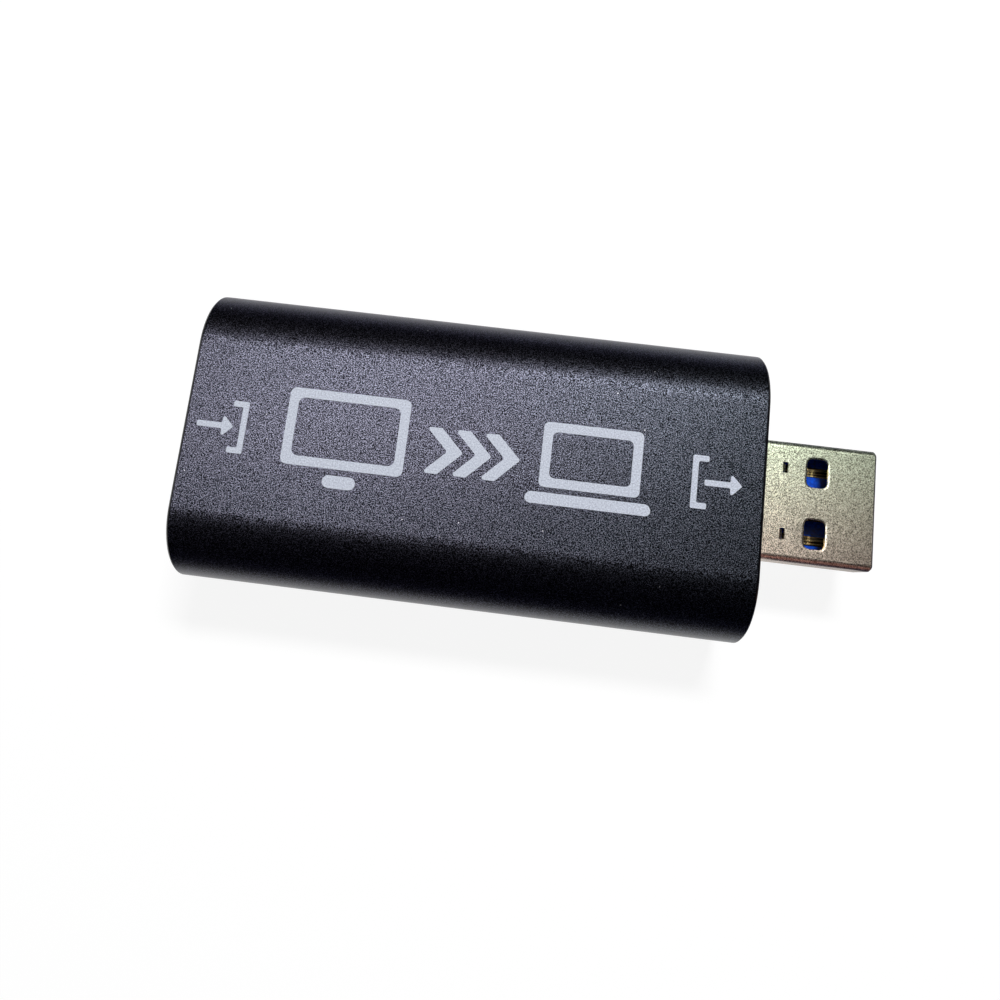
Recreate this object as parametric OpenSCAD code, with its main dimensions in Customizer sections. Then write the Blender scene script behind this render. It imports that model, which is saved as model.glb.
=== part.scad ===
// Video capture stick: an extruded aluminium sleeve closed by two moulded end
// plates. A circuit board slides into rails in the sleeve and carries a digital
// video socket at the input end and a type-A data plug at the output end.
// Frame: origin on the middle of the sleeve's underside, +X towards the plug,
// +Y across the width, +Z up. Millimetres.

/* [Sleeve] */
// Length of the extruded sleeve
case_l = 55; // [50:0.5:70]
// Width of the sleeve
case_w = 28.8; // [27:0.1:36]
// Height of the sleeve
case_h = 13; // [12:0.1:16]
// Radius of the sleeve's long edges, at most half its height
case_edge_r = 6.4; // [5.6:0.1:6.5]
// Wall thickness of the extrusion
case_wall = 1.2; // [0.8:0.1:1.5]
// Bevel on the outer rim of both cut ends
case_bevel = 0.25; // [0.1:0.05:0.5]

/* [Board] */
// Space between the sleeve's inner floor and the board
board_gap = 0.85; // [0.75:0.05:1.5]
// Thickness of the board
board_t = 1.2; // [0.8:0.1:1.6]
// Radius of the board's corners
board_corner_r = 1; // [0.5:0.1:2]
// Gap between the board and what guides it
board_clear = 0.1; // [0.05:0.01:0.2]
// Gap between each end of the board and the end plate
board_end_gap = 0.2; // [0.1:0.05:0.5]
// Thickness of the rails above the board's edges
rail_t = 0.8; // [0.6:0.1:1.2]
// How far the rails reach over the board's edges
rail_grip = 1; // [0.6:0.1:1.5]

/* [End plates] */
// Thickness of each end plate
plate_t = 1.8; // [1.4:0.1:2.4]
// How far each plate sits inside the sleeve's end
plate_recess = 0.3; // [0:0.05:0.6]
// Gap between a plate and the sleeve or a connector
plate_clear = 0.1; // [0.05:0.01:0.2]
// Length of the press-fit tabs behind each plate
tab_l = 5; // [3:0.5:7]
// Width of each upper tab
tab_w = 4; // [3:0.1:5]
// Thickness of the upper tabs
tab_t = 1; // [0.8:0.1:1.4]
// Width of the tab below the board
foot_tab_w = 8; // [6:0.5:9]
// Width of the crush ribs that grip the sleeve
crush_w = 0.6; // [0.4:0.1:0.8]
// Distance from the tabs' free ends to the crush ribs
crush_setback = 1.25; // [0.5:0.25:2]

/* [Video socket] */
// Clear width of the socket's mouth
socket_w = 14; // [13.5:0.1:14.5]
// Clear height of the socket's mouth
socket_h = 4.55; // [4.4:0.05:4.8]
// Size of the slanted lower corners
socket_slant = 1.55; // [1.2:0.05:1.8]
// Inner corner radius of the socket
socket_r = 0.45; // [0.3:0.05:0.6]
// Sheet thickness of the socket's shell
socket_wall = 0.3; // [0.25:0.05:0.35]
// Depth of the socket's shell
socket_l = 11.4; // [10.5:0.1:13]
// Width of the turned-out lip round the mouth
socket_lip = 0.5; // [0.3:0.05:0.7]
// Depth of the turned-out lip
socket_lip_t = 0.35; // [0.25:0.05:0.5]
// How far the mouth stands out of the end plate
socket_proud = 0.1; // [0:0.05:0.3]
// Width of the tongue
tongue_w = 11; // [10.6:0.1:11.4]
// Thickness of the tongue
tongue_t = 1.7; // [1.5:0.05:1.9]
// Distance from the mouth to the tongue's front edge
tongue_setback = 0.9; // [0.6:0.1:1.5]
// Height of the taper on the tongue's front edge
tongue_taper = 0.35; // [0.2:0.05:0.5]
// Length of the insulator's solid rear block
socket_block_l = 3.2; // [2.5:0.1:4]
// Space behind the block in which the contacts drop to the board
socket_drop_gap = 0.7; // [0.5:0.05:0.9]
// Pitch of the contacts in one row
socket_pitch = 1; // [0.95:0.01:1.05]
// Contacts in the upper row
socket_upper_count = 10; // [8:1:10]
// Contacts in the lower row
socket_lower_count = 9; // [7:1:9]
// Width of one socket contact
socket_contact_w = 0.3; // [0.25:0.01:0.35]
// Distance from the tongue's front edge to the contacts
socket_contact_setback = 0.75; // [0.7:0.05:1.2]
// Distance from the mouth to the front pair of legs
socket_front_leg = 2.9; // [2.2:0.1:4]
// Distance from the shell's back to the rear pair of legs
socket_rear_leg = 2.8; // [1.5:0.1:3.5]

/* [Spring fingers] */
// Width of the socket's spring fingers
finger_w = 1.7; // [1.4:0.1:2]
// Length of the spring fingers
finger_l = 4.6; // [3.5:0.1:5]
// Distance from the middle to each spring finger
finger_y = 3.6; // [3:0.1:4]
// How far the fingers dip into the socket
finger_dip = 0.4; // [0.2:0.05:0.5]
// Length of the turned-up end of each finger
finger_toe = 0.9; // [0.6:0.1:1.2]
// Width of the slit round each finger
finger_slit = 0.25; // [0.15:0.05:0.35]
// Distance from the insulator's block to the fingers' roots
finger_margin = 0.4; // [0.35:0.05:0.8]

/* [Plug] */
// Width of the plug's shell
plug_w = 12; // [11.5:0.1:12.5]
// Height of the plug's shell
plug_h = 4.5; // [4.4:0.05:4.8]
// Outer corner radius of the plug's shell
plug_r = 0.64; // [0.5:0.02:0.8]
// Sheet thickness of the plug's shell
plug_wall = 0.32; // [0.28:0.01:0.36]
// Length of the plug beyond the sleeve
plug_out = 12.5; // [11.8:0.1:14]
// Overall length of the plug's shell
plug_l = 18.8; // [17.5:0.1:20]
// Bevel round the plug's tip
plug_bevel = 0.22; // [0.1:0.02:0.28]
// Free height above the plug's tongue
plug_free_h = 1.95; // [1.85:0.05:2.05]
// Depth of the plug's open end
plug_depth = 8.6; // [8.3:0.1:8.7]
// Distance from the tip to the tongue's front
plug_tongue_setback = 0.4; // [0.25:0.05:0.6]
// Bevel on the tongue's upper front edge
plug_tongue_bevel = 0.4; // [0.2:0.05:0.6]
// Distance from the tip to the latch windows
window_setback = 4.75; // [4.5:0.05:5.2]
// Length of each latch window
window_l = 2.1; // [1.8:0.05:2.4]
// Width of each latch window
window_w = 2.9; // [2.5:0.05:3]
// Corner radius of the latch windows
window_r = 0.6; // [0.3:0.05:0.8]
// Distance from the middle to each latch window
window_y = 3.05; // [2.9:0.05:3.2]
// Width of the rolled rim round each latch window
rim_w = 0.22; // [0.1:0.02:0.3]
// Depth of the rolled rim
rim_depth = 0.08; // [0.04:0.01:0.14]
// Distance from the tip to the middle of the small lock slots
lock_setback = 9; // [8.9:0.05:9.4]
// Length of each lock slot along the plug
lock_l = 0.55; // [0.4:0.05:0.7]
// Width of each lock slot across the plug
lock_w = 1.1; // [0.9:0.05:1.3]
// Distance from the middle to each lock slot
lock_y = 3.3; // [3:0.05:3.5]
// Width of the slit round the tab in each lock slot
lock_slit = 0.12; // [0.08:0.01:0.2]
// How far the lock tabs are bent into the insulator
lock_drop = 0.45; // [0.3:0.05:0.6]
// Width of the seam along the shell's underside
seam_w = 0.1; // [0.06:0.01:0.15]
// Width of the seam's dovetail at its neck
dovetail_neck = 1; // [0.8:0.1:1.4]
// Width of the seam's dovetail at its end
dovetail_end = 1.8; // [1.5:0.1:2.2]
// Reach of the seam's dovetail
dovetail_l = 1.2; // [0.8:0.1:1.5]
// Distance from the plug's back to its legs
plug_leg_setback = 1.6; // [1:0.1:1.8]

/* [Plug contacts] */
// Width of the four main contacts
main_contact_w = 1; // [0.9:0.05:1.1]
// Distance from the middle to the data contacts
data_contact_y = 1; // [0.9:0.05:1.1]
// Distance from the middle to the power contacts
power_contact_y = 3.5; // [3.4:0.02:3.52]
// Distance from the tongue's front to the power contacts
power_setback = 1.6; // [1:0.1:2]
// Distance from the tongue's front to the data contacts
data_setback = 2.6; // [2:0.1:3]
// Width of the main contacts' tails
main_tail_w = 0.6; // [0.5:0.02:0.66]
// Distance from the plug's back to the main contacts' drop
main_drop = 0.5; // [0.3:0.05:0.8]
// High-speed contacts in the row
fast_count = 5; // [3:1:5]
// Width of one high-speed contact
fast_contact_w = 0.4; // [0.35:0.05:0.5]
// Pitch of the high-speed contacts
fast_pitch = 2.1; // [2.08:0.01:2.2]
// Height of the high-speed contacts' level run above the tongue
fast_rise = 0.75; // [0.6:0.05:0.9]
// Distance from the tip to the high-speed contacts' free ends
fast_setback = 6.9; // [6.4:0.1:7.2]
// Distance from the block to the high-speed contacts' bend
fast_bend = 1.2; // [0.8:0.05:1.3]
// Height of the high-speed contacts' bend
fast_bump = 0.35; // [0.2:0.05:0.4]
// Distance from the plug's back to the high-speed contacts' drop
fast_drop = 1.3; // [1.2:0.05:2]

/* [Contacts and legs] */
// Thickness of the contacts
contact_t = 0.2; // [0.16:0.01:0.24]
// How deep the contacts lie in the tongues
contact_inset = 0.14; // [0.1:0.01:0.15]
// Length of the contacts' feet on the board
foot_l = 1.1; // [0.8:0.1:1.5]
// Width of the connectors' legs
leg_w = 1; // [0.8:0.05:1.2]
// How far the legs reach below the board
leg_below = 0.6; // [0.3:0.05:0.7]
// Gap between a leg and its slot in the board
leg_clear = 0.15; // [0.1:0.01:0.2]
// Gap between an insulator and its shell
insulator_clear = 0.03; // [0.01:0.01:0.05]

/* [Electronics] */
// Clear space between neighbouring pieces on the board
part_gap = 0.8; // [0.6:0.1:1.2]
// Side of the square capture chip
chip_w = 9; // [8.6:0.1:10]
// Thickness of the capture chip's package
chip_t = 0.85; // [0.7:0.05:1]
// Contact pads along each side of the capture chip
chip_pads = 16; // [10:1:16]
// Pitch of the capture chip's pads
chip_pitch = 0.5; // [0.4:0.02:0.5]
// Length of the capture chip's pads
chip_pad_l = 0.6; // [0.4:0.05:0.8]
// How far the pads show beyond the capture chip
chip_pad_out = 0.2; // [0.1:0.05:0.3]
// Width of the capture chip's pads
chip_pad_w = 0.25; // [0.15:0.01:0.3]
// Side of the heat pad under the capture chip
heat_pad_w = 4.5; // [3:0.1:6]
// Thickness of the solder under the capture chip
solder_t = 0.05; // [0.03:0.01:0.1]
// Space under the leaded packages
package_lift = 0.1; // [0.05:0.01:0.2]
// Bevel on the packages' upper edges
package_bevel = 0.15; // [0.08:0.01:0.2]
// Radius of the mark for the first lead
mark_r = 0.18; // [0.1:0.01:0.2]
// Depth of the mark for the first lead
mark_depth = 0.06; // [0.03:0.01:0.1]
// Thickness of the packages' leads
lead_t = 0.15; // [0.1:0.01:0.2]
// Length of the memory chip's package
memory_l = 4.9; // [4.5:0.1:5.2]
// Width of the memory chip's package
memory_w = 3.9; // [3.7:0.1:4.1]
// Height of the memory chip's package
memory_h = 1.45; // [1.2:0.05:1.6]
// Leads along each side of the memory chip
memory_leads = 4; // [2:1:4]
// Reach of the memory chip's leads
memory_lead_l = 1.05; // [0.9:0.05:1.2]
// Width of the memory chip's leads
memory_lead_w = 0.4; // [0.3:0.02:0.5]
// Pitch of the memory chip's leads
memory_pitch = 1.27; // [1:0.01:1.3]
// Length of the clock crystal
crystal_l = 3.2; // [2.5:0.1:4]
// Width of the clock crystal
crystal_w = 2.5; // [2:0.1:3.2]
// Height of the crystal's base
crystal_base_h = 0.5; // [0.4:0.05:0.7]
// Height of the crystal's lid
crystal_lid_h = 0.35; // [0.2:0.05:0.5]
// Rim of the crystal's base round its lid, and the corner radius
crystal_rim = 0.15; // [0.1:0.01:0.2]
// Length of the main regulator's package
regulator_l = 6.5; // [6.2:0.1:6.8]
// Width of the main regulator's package
regulator_w = 3.5; // [3.3:0.1:3.7]
// Height of the main regulator's package
regulator_h = 1.6; // [1.4:0.1:1.8]
// Reach of the main regulator's leads
regulator_lead_l = 1.75; // [1.5:0.05:2]
// Width of the main regulator's leads
regulator_lead_w = 0.7; // [0.6:0.05:0.8]
// Width of the main regulator's heat tab
regulator_tab_w = 3; // [2.8:0.1:3.2]
// Pitch of the main regulator's leads
regulator_pitch = 2.3; // [2:0.05:2.5]
// Length of the core regulator's package
core_l = 2.9; // [2.7:0.1:3.1]
// Width of the core regulator's package
core_w = 1.6; // [1.5:0.05:1.8]
// Height of the core regulator's package
core_h = 1.1; // [0.9:0.05:1.3]
// Reach of the core regulator's leads
core_lead_l = 0.6; // [0.5:0.05:0.7]
// Width of the core regulator's leads
core_lead_w = 0.4; // [0.3:0.02:0.5]
// Pitch of the core regulator's leads
core_pitch = 0.95; // [0.9:0.01:1]
// Surge protection arrays in the row behind the socket
surge_count = 4; // [2:1:4]
// Length of a surge protection array
surge_l = 2.5; // [2:0.1:2.8]
// Width of a surge protection array
surge_w = 1; // [0.9:0.05:1.2]
// Height of a surge protection array
surge_h = 0.55; // [0.4:0.05:0.7]
// Capacitors along each side of the capture chip
capacitor_count = 5; // [3:1:5]
// Resistors before and behind the capture chip
resistor_count = 3; // [1:1:3]
// Length of a chip capacitor or resistor
passive_l = 1.6; // [1.2:0.1:2]
// Width of a chip capacitor or resistor
passive_w = 0.8; // [0.5:0.05:1]
// Height of a chip capacitor
capacitor_h = 0.8; // [0.5:0.05:1]
// Height of a chip resistor
resistor_h = 0.45; // [0.35:0.05:0.6]
// Length of a chip component's end terminals
terminal_l = 0.3; // [0.2:0.02:0.4]

/* [Hidden] */
$fn = 64;
// How far a cutting shape reaches past what it cuts
over = 1;
// Thickness of the two slices that span the socket's bell mouth
slice = 0.01;

// Sleeve, from the outside in
edge_r = min(case_edge_r, case_h / 2);
inner_w = case_w - 2 * case_wall;
inner_h = case_h - 2 * case_wall;
inner_r = edge_r - case_wall;
ceiling_z = case_h - case_wall;
flat_half = case_w / 2 - edge_r;

// End plates, seated on the ends of the rails
plate_face_x = case_l / 2 - plate_recess;
plate_back_x = plate_face_x - plate_t;

// Board, held between the rails
board_z = case_wall + board_gap;
board_top = board_z + board_t;
board_half_w = inner_half_width(board_z) - board_clear;
board_half_l = plate_back_x - board_end_gap;
rail_tip = board_half_w - rail_grip;

// Video socket: its own frame starts in the middle of the mouth, with x inwards
mouth_x = -(plate_face_x + socket_proud);
socket_z = board_top + socket_wall + socket_h / 2;
socket_floor = board_top - socket_z;
block_back = socket_l - socket_wall - socket_drop_gap;
block_front = block_back - socket_block_l;
strip_front = tongue_setback + socket_contact_setback;
upper_strip_z = tongue_t / 2 - contact_inset;
lower_strip_z = contact_inset - contact_t - tongue_t / 2;
socket_drop_x = block_back + (socket_drop_gap + contact_t) / 2;
socket_legs = [socket_front_leg, socket_l - socket_rear_leg];
socket_leg_y = (socket_w + socket_wall) / 2;
finger_root = block_front - finger_margin;

// Plug: measured back from its tip along X
tip_x = case_l / 2 + plug_out;
plug_back_x = tip_x - plug_l;
plug_z = board_top + plug_h / 2;
plug_floor_z = board_top + plug_wall;
plug_ceiling_z = board_top + plug_h - plug_wall;
plug_tongue_z = plug_ceiling_z - plug_free_h;
plug_block_x = tip_x - plug_depth;
plug_tongue_x = tip_x - plug_tongue_setback;
lock_back_x = tip_x - lock_setback - lock_l / 2;
plug_leg_x = plug_back_x + plug_leg_setback;
plug_leg_y = (plug_w - plug_wall) / 2;
main_strip_z = plug_tongue_z - contact_inset;
main_drop_x = plug_back_x - main_drop;
fast_drop_x = plug_back_x - fast_drop;

// Layout of the pieces on the board, in columns from the socket to the plug
surge_x = mouth_x + socket_l + foot_l + part_gap + surge_w / 2;
chip_x = surge_x + surge_w / 2 + 3 * part_gap + passive_w + chip_w / 2;
resistor_x = chip_w / 2 + part_gap + passive_w / 2;
capacitor_y = chip_w / 2 + part_gap + passive_l / 2;
clock_column_x = chip_x + resistor_x + passive_w / 2 + part_gap;
power_column_x = clock_column_x + max(crystal_l, core_l) + part_gap;
crystal_at = [clock_column_x + crystal_l / 2, part_gap + crystal_w / 2, 0];
core_at = [clock_column_x + core_l / 2, -part_gap - core_lead_l - core_w / 2, 0];
memory_at = [power_column_x + memory_lead_l + memory_w / 2, part_gap + memory_l / 2, 0];
regulator_at = [power_column_x + regulator_lead_l + regulator_w / 2, -part_gap - regulator_l / 2, 0];

// Half the sleeve's inner width at height z, below the middle of its round edges
function inner_half_width(z) = flat_half + sqrt(pow(inner_r, 2) - pow(edge_r - z, 2));

// The place of copy i in a row of count copies, centred on zero
function in_row(i, count, pitch) = (i - (count - 1) / 2) * pitch;

// The socket's corners, grown outwards by d: a slab with slanted lower corners
function socket_corners(d) =
    let (w = socket_w / 2 + d, h = socket_h / 2 + d, s = socket_slant + d * (2 - sqrt(2)))
    [[-w, h], [-w, s - h], [s - w, -h], [w - s, -h], [w, s - h], [w, h]];

// An arc of radius r and n chords in place of the corner p between points a and b
function corner_arc(p, a, b, r, n) =
    let (
        u = (a - p) / norm(a - p),
        v = (b - p) / norm(b - p),
        half = acos(u * v) / 2,
        centre = p + (u + v) / norm(u + v) * r / sin(half),
        from = p + u * r / tan(half) - centre,
        to = p + v * r / tan(half) - centre,
        start = atan2(from[1], from[0]),
        turn = atan2(to[1], to[0]) - start,
        sweep = turn > 180 ? turn - 360 : turn < -180 ? turn + 360 : turn
    )
    [for (i = [0:n]) centre + r * [cos(start + sweep * i / n), sin(start + sweep * i / n)]];

// A closed outline with every corner rounded to radius r
function rounded(points, r, n = 5) =
    let (count = len(points))
    [for (i = [0:count - 1])
        each corner_arc(points[i], points[(i + count - 1) % count], points[(i + 1) % count], r, n)];

// A contact's side view: a strip at height z, a drop at x_drop and a foot on the board
function contact_side(x_start, x_drop, x_foot, z, z_board) =
    let (t = contact_t, x_inner = x_drop - sign(x_foot - x_drop) * contact_t)
    [
        [x_start, z], [x_start, z + t], [x_drop, z + t], [x_drop, z_board + t],
        [x_foot, z_board + t], [x_foot, z_board], [x_inner, z_board], [x_inner, z]
    ];

// A bevelled slab's outline, seen from above or from the side
function bevelled_side(x0, x1, half, b0, b1) = [
    [x0, b0 - half], [x0 + b0, -half], [x1 - b1, -half], [x1, b1 - half],
    [x1, half - b1], [x1 - b1, half], [x0 + b0, half], [x0, half - b0]
];

// The edge of a latch window at a distance half, from inside the wall to past its rim
function window_edge(half) = [
    [half, -2 * plug_wall], [half, -rim_depth], [half + 2 * rim_w, rim_depth]
];

// A latch window cut across its middle, with the wall's outer face at height zero
function window_side(half) =
    let (edge = window_edge(half))
    concat(edge, [for (i = [2:-1:0]) [-edge[i][0], edge[i][1]]]);

// Extrudes an outline drawn in Y and Z from x0 to x1
module along_x(x0, x1) {
    translate([x0, 0, 0])
        rotate([90, 0, 90])
            linear_extrude(height = x1 - x0)
                children();
}

// Extrudes an outline drawn in X and Z across a width w centred on y
module across_y(y, w) {
    translate([0, y + w / 2, 0])
        rotate([90, 0, 0])
            linear_extrude(height = w)
                children();
}

// A slab outline with round corners, centred on the origin
module slab(w, h, r) {
    square([w - 2 * r, h], center = true);
    square([w, h - 2 * r], center = true);
    for (y = [-1, 1], z = [-1, 1])
        translate([y * (w / 2 - r), z * (h / 2 - r)])
            circle(r);
}

// A round-edged slab from x0 to x1, with its end rims bevelled by b0 and b1
module bevelled_slab(x0, x1, w, h, r, b0, b1) {
    l = x1 - x0;
    for (y = [-1, 1], z = [-1, 1])
        translate([x0, y * (w / 2 - r), z * (h / 2 - r)])
            rotate([0, 90, 0])
                rotate_extrude()
                    polygon([[0, 0], [r - b0, 0], [r, b0], [r, l - b1], [r - b1, l], [0, l]]);
    across_y(0, w - 2 * r)
        polygon(bevelled_side(x0, x1, h / 2, b0, b1));
    if (h > 2 * r)
        translate([0, 0, r - h / 2])
            linear_extrude(height = h - 2 * r)
                polygon(bevelled_side(x0, x1, w / 2, b0, b1));
}

// The space inside the sleeve, drawn in Y and Z and shrunk by d
module inner_outline(d) {
    translate([0, case_h / 2])
        slab(inner_w - 2 * d, inner_h - 2 * d, inner_r - d);
}

// The rails: a ledge below each edge of the board and a rib above it
module rail_outline() {
    for (side = [0, 1])
        mirror([side, 0])
            translate([rail_tip, 0]) {
                square([case_w, board_z - board_clear]);
                translate([0, board_top + board_clear])
                    square([case_w, rail_t]);
            }
}

// Extruded, bead-blasted and anodised aluminium tube. Its rails are milled back at
// both ends, and the end plates seat on them.
module case_sleeve() {
    color("#1d1e22")
        difference() {
            translate([0, 0, case_h / 2])
                bevelled_slab(-case_l / 2, case_l / 2, case_w, case_h, edge_r, case_bevel, case_bevel);
            along_x(-case_l / 2 - over, case_l / 2 + over)
                difference() {
                    inner_outline(0);
                    rail_outline();
                }
            for (side = [0, 1])
                mirror([side, 0, 0])
                    along_x(plate_back_x, case_l / 2 + over)
                        inner_outline(0);
        }
}

// An end plate at the +X end, with two press-fit tabs above and one below the board
module plate_blank() {
    along_x(plate_back_x, plate_face_x)
        inner_outline(plate_clear);
    for (side = [-1, 1])
        translate([0, side * (flat_half - tab_w / 2), 0])
            press_tab(tab_w, ceiling_z - plate_clear - tab_t, ceiling_z - plate_clear, ceiling_z);
    press_tab(foot_tab_w, case_wall + plate_clear, board_z - board_clear, case_wall);
}

// A flat tab from z0 to z1 behind the plate, with two crush ribs that reach z_wall
module press_tab(w, z0, z1, z_wall) {
    rib_z = min(z0, z_wall);
    rib_l = tab_l - crush_setback;
    translate([plate_back_x - tab_l, -w / 2, z0])
        cube([tab_l + plate_t / 2, w, z1 - z0]);
    for (side = [-1, 1])
        translate([plate_back_x - rib_l, side * w / 4 - crush_w / 2, rib_z])
            cube([rib_l + plate_t / 2, crush_w, max(z1, z_wall) - rib_z]);
}

module input_end_plate() {
    color("#17181a")
        difference() {
            mirror([1, 0, 0])
                plate_blank();
            translate([mouth_x, 0, socket_z]) {
                along_x(-over, socket_l)
                    socket_outline(socket_wall + plate_clear);
                along_x(-over, socket_lip_t + plate_clear)
                    socket_outline(socket_wall + socket_lip + plate_clear);
            }
        }
}

module output_end_plate() {
    color("#17181a")
        difference() {
            plate_blank();
            translate([0, 0, plug_z])
                along_x(plug_back_x, tip_x)
                    slab(plug_w + 2 * plate_clear, plug_h + 2 * plate_clear, plug_r + plate_clear);
        }
}

// Glass-fibre board with slots for the two connectors' legs
module circuit_board() {
    color("#1f5a3a")
        difference() {
            translate([0, 0, board_z])
                linear_extrude(height = board_t)
                    slab(2 * board_half_l, 2 * board_half_w, board_corner_r);
            for (side = [-1, 1]) {
                for (x = socket_legs)
                    leg_slot(mouth_x + x, side * socket_leg_y, socket_wall);
                leg_slot(plug_leg_x, side * plug_leg_y, plug_wall);
            }
        }
}

// A slot in the board for a leg of thickness t
module leg_slot(x, y, t) {
    l = leg_w + 2 * leg_clear;
    w = t + 2 * leg_clear;
    translate([x - l / 2, y - w / 2, board_z - over])
        cube([l, w, board_t + 2 * over]);
}

// A sheet-metal leg of thickness t, from height z_top down through the board
module leg(x, y, t, z_top) {
    z_end = board_z - leg_below;
    translate([x - leg_w / 2, y - t / 2, z_end])
        cube([leg_w, t, z_top - z_end]);
}

// The socket's outline in Y and Z, grown outwards by d
module socket_outline(d) {
    polygon(rounded(socket_corners(d), socket_r + max(d, 0)));
}

// Stamped and folded steel shell with a turned-out lip, spring fingers and four legs
module socket_shell() {
    color("#c9c9c6") {
        translate([mouth_x, 0, socket_z]) {
            difference() {
                union() {
                    along_x(0, socket_l)
                        socket_outline(socket_wall);
                    along_x(0, socket_lip_t)
                        socket_outline(socket_wall + socket_lip);
                }
                along_x(-over, socket_l - socket_wall)
                    socket_outline(0);
                bell_mouth();
                for (side = [-1, 1], z = [-1, 1])
                    finger_window(side * finger_y, z * (socket_h + socket_wall) / 2);
                foot_opening();
            }
            for (side = [-1, 1], z = [0, 1])
                mirror([0, 0, z])
                    spring_finger(side * finger_y);
        }
        for (side = [-1, 1], x = socket_legs)
            leg(mouth_x + x, side * socket_leg_y, socket_wall, socket_z);
    }
}

// The cavity opens out over twice the depth of the lip
module bell_mouth() {
    hull() {
        along_x(-slice, 0)
            socket_outline(socket_lip);
        along_x(2 * socket_lip_t, 2 * socket_lip_t + slice)
            socket_outline(0);
    }
}

// The cut-out round one finger, through the wall whose middle is at height z
module finger_window(y, z) {
    l = finger_l + finger_slit;
    w = finger_w + 2 * finger_slit;
    translate([finger_root - l, y - w / 2, z - socket_wall])
        cube([l, w, 2 * socket_wall]);
}

// A finger that springs from the shell's upper wall, dips into the cavity and turns up
module spring_finger(y) {
    z0 = socket_h / 2;
    z1 = z0 + socket_wall;
    tip = finger_root - finger_l;
    bend = tip + finger_toe;
    across_y(y, finger_w)
        polygon([
            [finger_root + socket_wall, z0], [finger_root + socket_wall, z1], [finger_root, z1],
            [bend, z1 - finger_dip], [tip, z1], [tip, z0], [bend, z0 - finger_dip], [finger_root, z0]
        ]);
}

// The gap below the shell's back wall through which the contacts' feet leave
module foot_opening() {
    half = tongue_w / 2 + socket_pitch / 2;
    translate([block_back, -half, socket_floor - over])
        cube([socket_l, 2 * half, over + socket_wall + 3 * contact_t]);
}

// Moulded block with the tongue that carries the contacts
module socket_insulator() {
    half = tongue_t / 2;
    front = tongue_setback;
    flat = tongue_setback + 2 * tongue_taper;
    color("#141416")
        translate([mouth_x, 0, socket_z])
            difference() {
                union() {
                    along_x(block_front, block_back)
                        socket_outline(-insulator_clear);
                    across_y(0, tongue_w)
                        polygon([
                            [front, tongue_taper - half], [flat, -half], [block_back, -half],
                            [block_back, half], [flat, half], [front, half - tongue_taper]
                        ]);
                }
                socket_strips(socket_upper_count, upper_strip_z);
                socket_strips(socket_lower_count, lower_strip_z);
            }
}

// The channels of one row of contacts
module socket_strips(count, z) {
    for (i = [0:count - 1])
        translate([strip_front, in_row(i, count, socket_pitch) - socket_contact_w / 2, z])
            cube([socket_l - strip_front, socket_contact_w, contact_t]);
}

// One row of gold-plated contacts: strip, drop behind the block, foot on the board
module socket_contacts(count, z) {
    translate([mouth_x, 0, socket_z])
        for (i = [0:count - 1])
            across_y(in_row(i, count, socket_pitch), socket_contact_w)
                polygon(contact_side(strip_front, socket_drop_x, socket_l + foot_l, z, socket_floor));
}

module socket_upper_contacts() {
    color("#d9b45b")
        socket_contacts(socket_upper_count, upper_strip_z);
}

module socket_lower_contacts() {
    color("#d9b45b")
        socket_contacts(socket_lower_count, lower_strip_z);
}

// Folded steel shell of the plug: latch windows on both faces, lock tabs, seam, legs
module plug_shell() {
    color("#bdbcb4") {
        difference() {
            translate([0, 0, plug_z]) {
                difference() {
                    bevelled_slab(plug_back_x, tip_x, plug_w, plug_h, plug_r, 0, plug_bevel);
                    along_x(plug_back_x - over, tip_x + over)
                        plug_inside(0);
                }
            }
            for (side = [-1, 1]) {
                translate([tip_x - window_setback - window_l / 2, side * window_y, plug_z])
                    for (face = [0, 1])
                        mirror([0, 0, face])
                            translate([0, 0, plug_h / 2])
                                latch_window();
                lock_slot(side);
            }
            plug_seam();
        }
        for (side = [-1, 1]) {
            lock_tab(side);
            leg(plug_leg_x, side * plug_leg_y, plug_wall, plug_z);
        }
    }
}

// A latch window through one wall, with its outer rim rolled in by the punch
module latch_window() {
    for (x = [-1, 1], y = [-1, 1])
        translate([x * (window_l / 2 - window_r), y * (window_w / 2 - window_r), 0])
            rotate_extrude()
                polygon(concat([[0, rim_depth], [0, -2 * plug_wall]], window_edge(window_r)));
    across_y(0, window_w - 2 * window_r)
        polygon(window_side(window_l / 2));
    along_x(window_r - window_l / 2, window_l / 2 - window_r)
        polygon(window_side(window_w / 2));
}

// The space inside the plug's shell, drawn in Y and Z and shrunk by d
module plug_inside(d) {
    inset = plug_wall + d;
    slab(plug_w - 2 * inset, plug_h - 2 * inset, plug_r - inset);
}

// A lock slot through the shell's upper wall
module lock_slot(side) {
    translate([lock_back_x, side * lock_y - lock_w / 2, plug_ceiling_z - over])
        cube([lock_l, lock_w, plug_wall + 2 * over]);
}

// The tab in a lock slot, bent down from its back edge into the insulator's notch
module lock_tab(side) {
    x_end = lock_back_x + lock_l - lock_slit;
    z0 = plug_ceiling_z;
    z1 = plug_ceiling_z + plug_wall;
    across_y(side * lock_y, lock_w - 2 * lock_slit)
        polygon([
            [lock_back_x - plug_wall, z0], [lock_back_x - plug_wall, z1], [lock_back_x, z1],
            [x_end, z1 - lock_drop], [x_end, z0 - lock_drop], [lock_back_x, z0]
        ]);
}

// The notch in the insulator's block below a lock slot, down to the tongue's upper face
module lock_notch(side) {
    translate([lock_back_x, side * lock_y - lock_w / 2, plug_tongue_z])
        cube([plug_block_x + over - lock_back_x, lock_w, plug_h]);
}

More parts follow.
